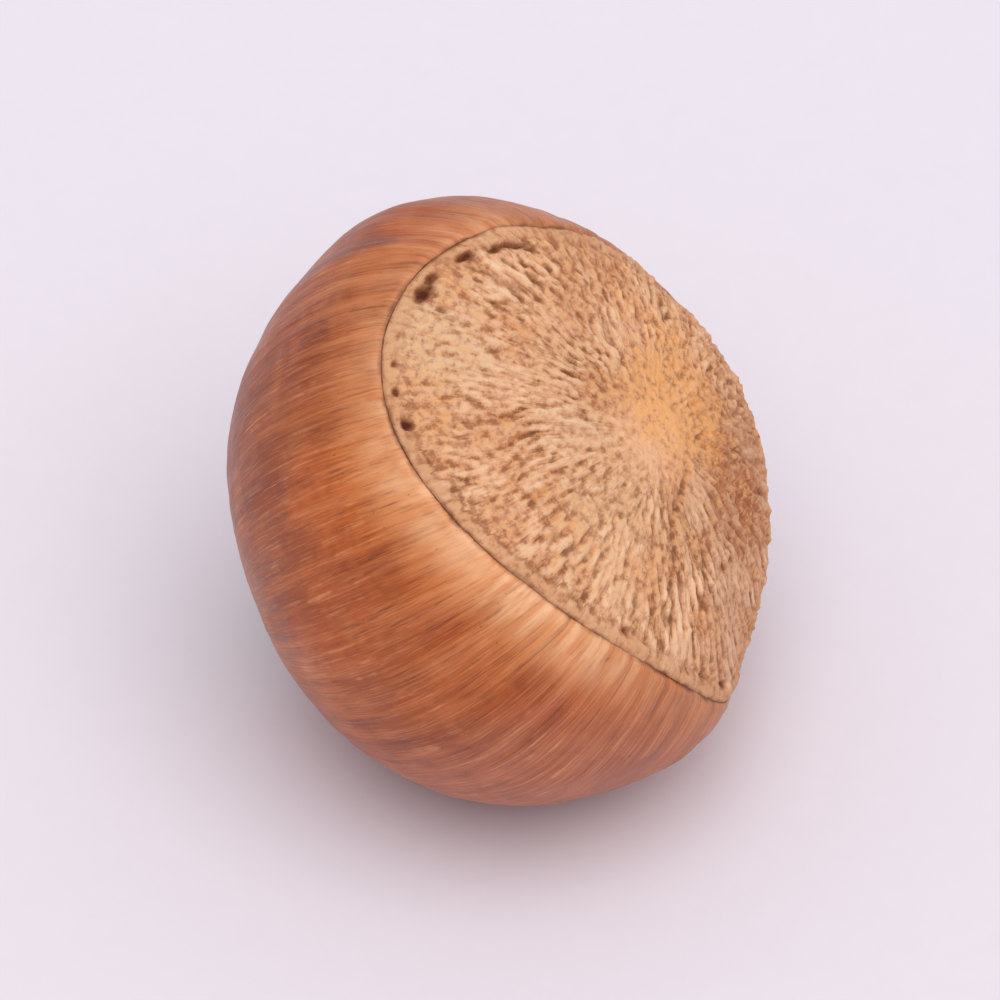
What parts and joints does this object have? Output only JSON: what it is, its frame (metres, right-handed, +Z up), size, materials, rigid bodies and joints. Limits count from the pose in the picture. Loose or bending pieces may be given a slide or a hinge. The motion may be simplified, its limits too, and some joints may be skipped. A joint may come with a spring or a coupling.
{
  "type": "hazelnut in its shell",
  "caption": "Whole hazelnut in its shell, lying on a small flat spot: a round, slightly flattened brown shell with faint sutures, a pointed tip and a broad, pale, fibrous scar at its base.",
  "frame": {"origin": "middle of the bounding box's bottom face, on the surface that the nut lies on, inside its small flat spot", "axes": "+Z up. The scar's axis points up and to +X, 41.5 degrees above the horizon and 19.3 degrees from +X towards -Y; the pointed tip is the other way, low at the back left"},
  "size_m": [0.0186, 0.0198, 0.0193],
  "materials": {
    "nutshell": "smooth woody shell with a soft natural sheen, and a dull, pale, fibrous scar at the base"
  },
  "bodies": {
    "root": {"hazelnut": "nutshell"}
  },
  "joints": []
}
